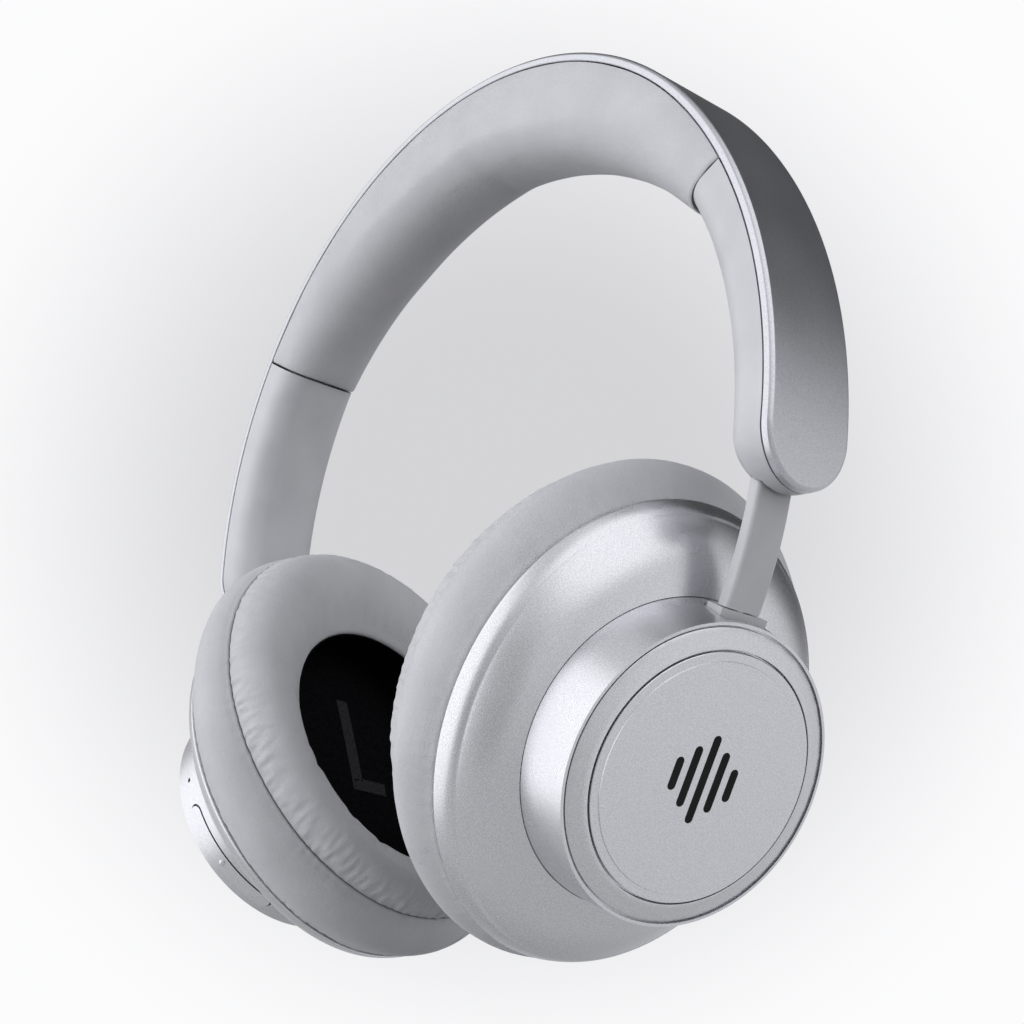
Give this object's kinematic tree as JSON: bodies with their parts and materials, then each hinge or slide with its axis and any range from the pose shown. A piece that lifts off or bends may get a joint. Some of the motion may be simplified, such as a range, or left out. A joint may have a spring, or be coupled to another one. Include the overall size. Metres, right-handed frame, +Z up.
{
  "type": "over ear headphones",
  "caption": "Over-ear headphones with a padded headband, sliding arms, swivelling oval cups and round silver hubs.",
  "frame": {"origin": "middle of the headband's underside, where it sits on a head or a hanger", "axes": "+X is the wearer's right, +Y is forward, +Z is up"},
  "size_m": [0.1778, 0.0838, 0.1896],
  "materials": {
    "silver_paint": "satin silver with a fine metallic sparkle",
    "silver_plastic": "moulding with satin metallic silver paint",
    "grey_plastic": "pale grey satin moulding",
    "steel": "fine brushed",
    "black_plastic": "black moulding",
    "cone_film": "thin film",
    "ear_leather": "grey soft leather with a fine pebble grain",
    "black_cloth": "black acoustic mesh cloth",
    "cable_rubber": "matt jacket",
    "battery_wrap": "shrink wrap",
    "circuit_board": "solder mask"
  },
  "bodies": {
    "headband": {"headband_cover": "silver_paint", "headband_cushion": "ear_leather", "cushion_carrier": "black_plastic", "spring_band": "steel", "headband_cable": "cable_rubber", "end_cap_right": "grey_plastic", "end_cap_left": "grey_plastic", "slider_guide_right": "black_plastic", "slider_guide_left": "black_plastic", "detent_spring_right": "steel", "detent_spring_left": "steel", "guide_screws": "steel"},
    "arm_right": {"slider_arm_right": "grey_plastic", "slider_bar_right": "steel"},
    "pivot_right": {"pivot_block_right": "grey_plastic", "swivel_pin_right": "steel"},
    "cup_right": {"tilt_pin_right": "steel", "cup_shell_right": "silver_plastic", "hub_housing_right": "silver_plastic", "face_ring_right": "silver_plastic", "face_plate_right": "silver_plastic", "emblem_right": "black_plastic", "baffle_right": "black_plastic", "driver_frame_right": "black_plastic", "driver_magnet_right": "steel", "cushion_plate_right": "black_plastic", "ear_cushion_right": "ear_leather", "ear_cloth_right": "black_cloth", "cup_screws_right": "steel", "battery": "battery_wrap", "charging_board": "circuit_board", "usb_c_port": "steel"},
    "diaphragm_right": {"diaphragm_right": "cone_film"},
    "arm_left": {"slider_arm_left": "grey_plastic", "slider_bar_left": "steel"},
    "pivot_left": {"pivot_block_left": "grey_plastic", "swivel_pin_left": "steel"},
    "cup_left": {"tilt_pin_left": "steel", "cup_shell_left": "silver_plastic", "hub_housing_left": "silver_plastic", "face_ring_left": "silver_plastic", "face_plate_left": "silver_plastic", "emblem_left": "black_plastic", "baffle_left": "black_plastic", "driver_frame_left": "black_plastic", "driver_magnet_left": "steel", "cushion_plate_left": "black_plastic", "ear_cushion_left": "ear_leather", "ear_cloth_left": "black_cloth", "cup_screws_left": "steel", "main_board": "circuit_board", "audio_jack": "black_plastic", "microphone": "steel", "button_board": "circuit_board"},
    "diaphragm_left": {"diaphragm_left": "cone_film"},
    "volume_rocker": {"volume_rocker": "silver_plastic"},
    "power_button": {"power_button": "silver_plastic"}
  },
  "joints": [
    {"name": "slider_right", "type": "slide", "parent": "headband", "child": "arm_right", "axis": [0, 0, -1], "range_m": [0, 0.025]},
    {"name": "swivel_right", "type": "hinge", "parent": "arm_right", "child": "pivot_right", "pos_m": [0.0605, 0, -0.13625], "axis": [0.4337, 0, 0.9011], "range_deg": [-5, 90]},
    {"name": "tilt_right", "type": "hinge", "parent": "pivot_right", "child": "cup_right", "pos_m": [0.07091, 0, -0.11462], "axis": [-0.0801, -0.996, 0.0386], "range_deg": [-3, 15]},
    {"name": "diaphragm_right", "type": "slide", "parent": "cup_right", "child": "diaphragm_right", "axis": [0.8975, -0.0889, -0.4319], "range_m": [-0.0004, 0.0004], "stiffness_N_per_m": 400},
    {"name": "slider_left", "type": "slide", "parent": "headband", "child": "arm_left", "axis": [0, 0, -1], "range_m": [0, 0.025]},
    {"name": "swivel_left", "type": "hinge", "parent": "arm_left", "child": "pivot_left", "pos_m": [-0.0605, 0, -0.13625], "axis": [0.4337, 0, -0.9011], "range_deg": [-5, 90]},
    {"name": "tilt_left", "type": "hinge", "parent": "pivot_left", "child": "cup_left", "pos_m": [-0.07091, 0, -0.11462], "axis": [-0.0801, 0.996, -0.0386], "range_deg": [-3, 15]},
    {"name": "diaphragm_left", "type": "slide", "parent": "cup_left", "child": "diaphragm_left", "axis": [-0.8975, -0.0889, -0.4319], "range_m": [-0.0004, 0.0004], "stiffness_N_per_m": 400},
    {"name": "volume_press", "type": "hinge", "parent": "cup_left", "child": "volume_rocker", "pos_m": [-0.05266, -0.0207, -0.15105], "axis": [-0.8975, -0.0889, -0.4319], "range_deg": [-2.5, 2.5], "stiffness_Nm_per_rad": 0.05},
    {"name": "power_press", "type": "slide", "parent": "cup_left", "child": "power_button", "axis": [-0.169, -0.8354, 0.5231], "range_m": [0, 0.0005], "stiffness_N_per_m": 600}
  ]
}
